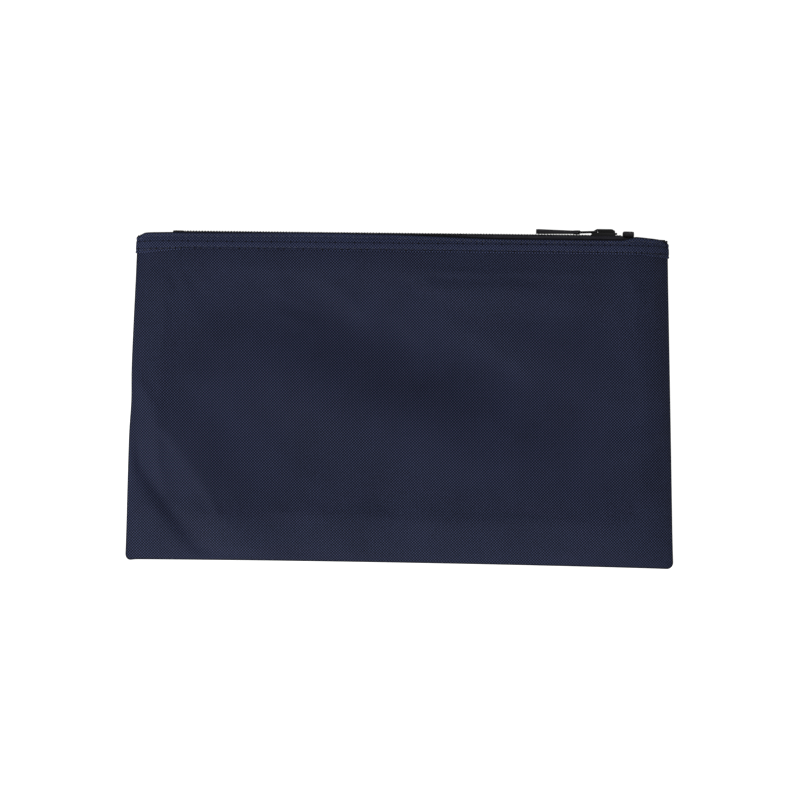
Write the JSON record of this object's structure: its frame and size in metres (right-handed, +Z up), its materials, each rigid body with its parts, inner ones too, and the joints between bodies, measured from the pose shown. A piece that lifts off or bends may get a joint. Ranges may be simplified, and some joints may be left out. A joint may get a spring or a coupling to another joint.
{
  "type": "cash deposit bag",
  "caption": "Flat zip-top pouch of navy woven polyester for carrying cash and deposit slips; a slider with a ring and pull opens a coil zip along the top edge.",
  "frame": {"origin": "point on the resting face, under the middle of the bag's height and width", "axes": "+X along the zip towards its closed end, +Y from the bottom seam to the zip, +Z up through the bag's thickness, away from the resting face"},
  "size_m": [0.2846, 0.1744, 0.013],
  "materials": {
    "pouch_cloth": "woven polyester",
    "band_cloth": "woven polyester",
    "zip_tape": "twill tape",
    "coil_filament": "satin monofilament",
    "filler_cord": "twisted cord",
    "tack_thread": "dense thread",
    "binding_tape": "grosgrain",
    "sewing_thread": "filament thread",
    "slider_metal": "satin enamel",
    "spring_steel": "rolled",
    "ring_metal": "satin enamel",
    "pull_finish": "satin enamel"
  },
  "bodies": {
    "bag": {"front_panel": "pouch_cloth", "back_panel": "pouch_cloth", "front_zip_band": "band_cloth", "back_zip_band": "band_cloth", "front_zip_tape": "zip_tape", "back_zip_tape": "zip_tape", "front_coil": "coil_filament", "front_coil_cord": "filler_cord", "back_coil": "coil_filament", "back_coil_cord": "filler_cord", "closed_end_tack": "tack_thread", "open_end_tack": "tack_thread", "front_edge_stitching": "sewing_thread", "back_edge_stitching": "sewing_thread", "front_band_stitching": "sewing_thread", "back_band_stitching": "sewing_thread", "left_seam_thread": "sewing_thread", "right_seam_thread": "sewing_thread", "bottom_seam_thread": "sewing_thread", "left_seam_binding": "binding_tape", "right_seam_binding": "binding_tape", "bottom_seam_binding": "binding_tape"},
    "slider": {"slider_body": "slider_metal", "slider_crown": "slider_metal", "lock_spring": "spring_steel"},
    "pull_ring": {"pull_ring": "ring_metal"},
    "pull_tab": {"pull_tab": "pull_finish"}
  },
  "joints": [
    {"name": "slider_travel", "type": "slide", "parent": "bag", "child": "slider", "axis": [-1, 0, 0], "range_m": [0, 0.211]},
    {"name": "pull_ring_swing", "type": "hinge", "parent": "slider", "child": "pull_ring", "pos_m": [0.10045, 0.08718, 0.0065], "axis": [0, 0, -1], "range_deg": [0, 140]},
    {"name": "pull_tab_swing", "type": "hinge", "parent": "pull_ring", "child": "pull_tab", "pos_m": [0.09106, 0.08685, 0.0065], "axis": [0, 0, -1], "range_deg": [0, 55]}
  ]
}
